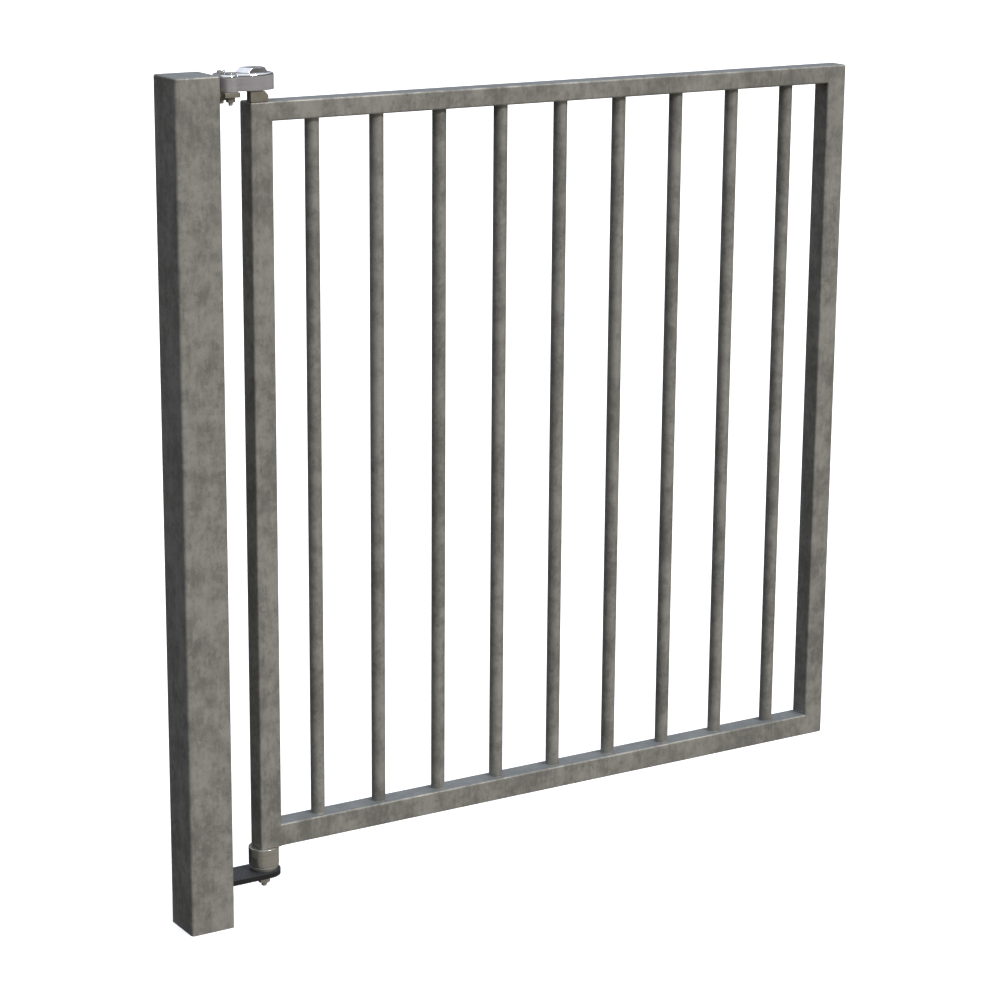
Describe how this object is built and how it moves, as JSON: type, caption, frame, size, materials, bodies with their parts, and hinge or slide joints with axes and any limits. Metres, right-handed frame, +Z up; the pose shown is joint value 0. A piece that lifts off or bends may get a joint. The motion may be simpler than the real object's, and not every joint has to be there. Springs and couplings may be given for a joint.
{
  "type": "garden gate",
  "caption": "Galvanised self-closing garden gate: a square post and a tubular barred leaf on a closer hinge above and a bearing pivot below.",
  "frame": {"origin": "middle of the post's foot, on the ground", "axes": "+Z up the post; +X from the post along the leaf to its free end; +Y to the back of the gate"},
  "size_m": [1.342, 0.08, 1.444],
  "materials": {
    "galvanised": "hot-dip galvanised, mottled matte zinc",
    "plated": "zinc plated with a beige-brown passivation",
    "alloy": "brushed sides and polished top",
    "nickel": "satin nickel",
    "blacked": "black, slightly rough",
    "steel": "bright machined steel",
    "bronze": "oiled bronze",
    "seal": "black nitrile rubber"
  },
  "bodies": {
    "post_side": {"post": "galvanised", "post_cap": "galvanised", "head_bracket": "plated", "bracket_weld": "plated", "head_body": "alloy", "head_cover": "alloy", "head_bolts": "steel", "head_washers": "plated", "head_nuts": "plated", "spindle": "steel", "cam_sleeve": "steel", "hinge_plate": "blacked", "plate_weld": "blacked", "base_ring": "nickel", "pivot_pin": "steel", "pivot_washer": "steel", "lock_nut": "nickel", "pivot_nut": "nickel", "lower_race": "steel"},
    "leaf": {"upper_race": "steel", "pivot_bush": "bronze", "bearing_cup": "nickel", "hinge_stile": "galvanised", "hinge_stile_top_cap": "galvanised", "hinge_stile_foot_cap": "galvanised", "latch_stile": "galvanised", "latch_stile_top_cap": "galvanised", "latch_stile_foot_cap": "galvanised", "top_rail": "galvanised", "bottom_rail": "galvanised", "bar_1": "galvanised", "bar_2": "galvanised", "bar_3": "galvanised", "bar_4": "galvanised", "bar_5": "galvanised", "bar_6": "galvanised", "bar_7": "galvanised", "bar_8": "galvanised", "bar_9": "galvanised", "closer_tube": "blacked", "neck_bush": "bronze", "neck_seal": "seal", "guide_sleeve": "steel", "closer_plug": "steel", "plug_seal": "seal", "clamp_block": "plated", "clamp_screws": "steel"},
    "piston_body": {"piston": "steel", "piston_seal": "seal", "cross_pin": "steel", "return_spring": "steel"},
    "bearing_cage": {"ball_cage": "bronze", "bearing_balls": "steel"},
    "speed_adjuster": {"speed_screw": "steel"}
  },
  "joints": [
    {"name": "gate_swing", "type": "hinge", "parent": "post_side", "child": "leaf", "pos_m": [0.1165, 0, 0.5], "axis": [0, 0, 1], "range_deg": [0, 110], "stiffness_Nm_per_rad": 9, "springref_deg": -28.65},
    {"name": "piston_travel", "type": "slide", "parent": "leaf", "child": "piston_body", "axis": [0, 0, -1], "range_m": [0, 0.0221], "deforming": ["return_spring"]},
    {"name": "cage_roll", "type": "hinge", "parent": "post_side", "child": "bearing_cage", "pos_m": [0.1165, 0, 0.09], "axis": [0, 0, 1], "range_deg": [0, 55.5]},
    {"name": "speed_turn", "type": "hinge", "parent": "post_side", "child": "speed_adjuster", "pos_m": [0.1165, 0, 1.42], "axis": [0, 0, 1], "range_deg": [0, 270]}
  ],
  "couplings": [
    {"joint": "piston_travel", "follows": "gate_swing", "m_per_rad": 0.011459},
    {"joint": "cage_roll", "follows": "gate_swing", "ratio": 0.5}
  ]
}
